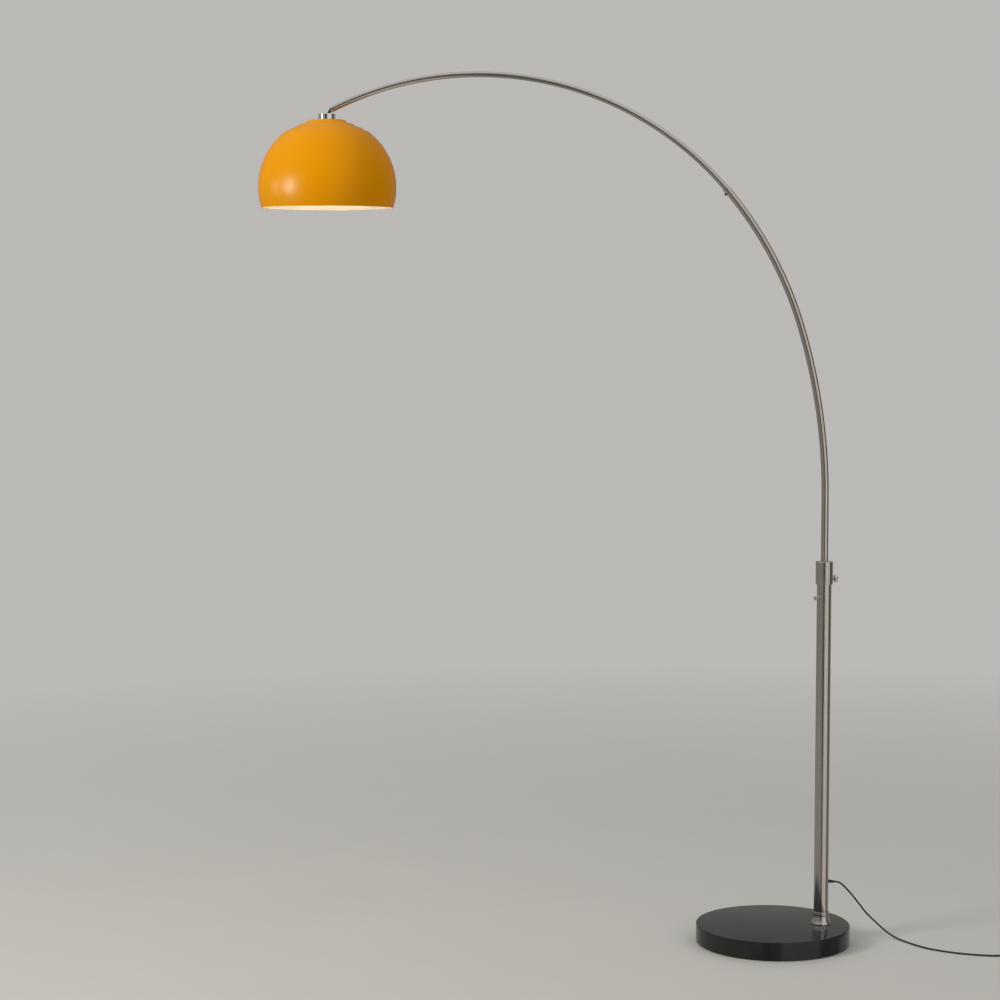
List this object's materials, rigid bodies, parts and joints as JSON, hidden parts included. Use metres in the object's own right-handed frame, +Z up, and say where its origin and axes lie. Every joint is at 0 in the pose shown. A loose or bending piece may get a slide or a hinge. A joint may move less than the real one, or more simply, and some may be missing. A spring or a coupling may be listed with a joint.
{
  "type": "arc floor lamp",
  "caption": "Arc floor lamp with a round stone base, steel column, sliding bent arm, tilting dome shade and corded foot switch.",
  "frame": {"origin": "on the floor, at the middle of the round base's underside", "axes": "+Z up, the arm reaches along -X from the column, the column stands off centre at +X"},
  "size_m": [1.7402, 0.34, 1.9178],
  "materials": {
    "stone": "polished",
    "felt": "matte",
    "brushed_steel": "satin",
    "polished_steel": "polished",
    "zinc": "satin",
    "dark_steel": "satin",
    "nylon": "satin",
    "yellow_lacquer": "satin",
    "brass": "satin",
    "holder_plastic": "satin",
    "holder_ceramic": "satin",
    "bulb_glass": "satin",
    "black_rubber": "matte",
    "black_cord": "satin",
    "inner_flex": "satin",
    "black_plastic": "gloss"
  },
  "bodies": {
    "stand": {"base_slab": "stone", "base_pad": "felt", "base_washer": "zinc", "base_bolt": "zinc", "foot_plug": "zinc", "foot_collar": "brushed_steel", "column_tube": "brushed_steel", "column_collar": "brushed_steel", "collar_bush": "nylon", "cord_grommet": "black_rubber", "flex_in_column": "inner_flex", "cord_lead": "black_cord", "cord_tail": "black_cord", "cord_end": "black_cord", "cord_coil": "black_cord", "coil_tie": "black_rubber", "switch_base": "black_plastic", "switch_cover": "black_plastic", "plug_relief": "black_rubber", "plug_body": "black_plastic", "plug_pin_1": "brass", "plug_pin_2": "brass"},
    "height_screw": {"height_thumb_screw": "polished_steel"},
    "turn_screw": {"turn_thumb_screw": "polished_steel"},
    "foot_button": {"switch_button": "black_plastic"},
    "guide": {"arm_guide_sleeve": "nylon"},
    "arm": {"arm_foot_bush": "nylon", "lower_arc_tube": "brushed_steel", "upper_arc_tube": "brushed_steel", "arc_joint_screw": "dark_steel", "arm_end_plug": "polished_steel", "flex_in_arm": "inner_flex"},
    "head": {"swivel_cap": "polished_steel", "swivel_pin": "zinc", "threaded_nipple": "brass", "shade": "yellow_lacquer", "shade_nut": "zinc", "lampholder_cap": "holder_plastic", "lampholder_skirt": "holder_plastic", "lampholder_core": "holder_ceramic", "lampholder_shell": "brass", "lampholder_contact": "brass", "bulb_cap": "brass", "bulb_glass": "bulb_glass", "flex_in_head": "inner_flex"}
  },
  "joints": [
    {"name": "arm_swivel", "type": "hinge", "parent": "stand", "child": "guide", "pos_m": [0.107, 0, 0.745], "axis": [0, 0, 1], "range_deg": [-175, 175]},
    {"name": "arm_height", "type": "slide", "parent": "guide", "child": "arm", "axis": [0, 0, 1], "range_m": [-0.14, 0.14]},
    {"name": "shade_tilt", "type": "hinge", "parent": "arm", "child": "head", "pos_m": [-0.98201, 0, 1.82023], "axis": [0, 1, 0], "range_deg": [-10, 30]},
    {"name": "height_screw_turn", "type": "hinge", "parent": "stand", "child": "height_screw", "pos_m": [0.107, 0, 0.8138], "axis": [1, 0, 0], "range_deg": [0, 360]},
    {"name": "turn_screw_turn", "type": "hinge", "parent": "stand", "child": "turn_screw", "pos_m": [0.107, 0, 0.7726], "axis": [-0.682, -0.7314, 0], "range_deg": [0, 360]},
    {"name": "button_press", "type": "slide", "parent": "stand", "child": "foot_button", "axis": [0, 0, -1], "range_m": [0, 0.0022], "stiffness_N_per_m": 800, "springref_m": -0.0005}
  ]
}
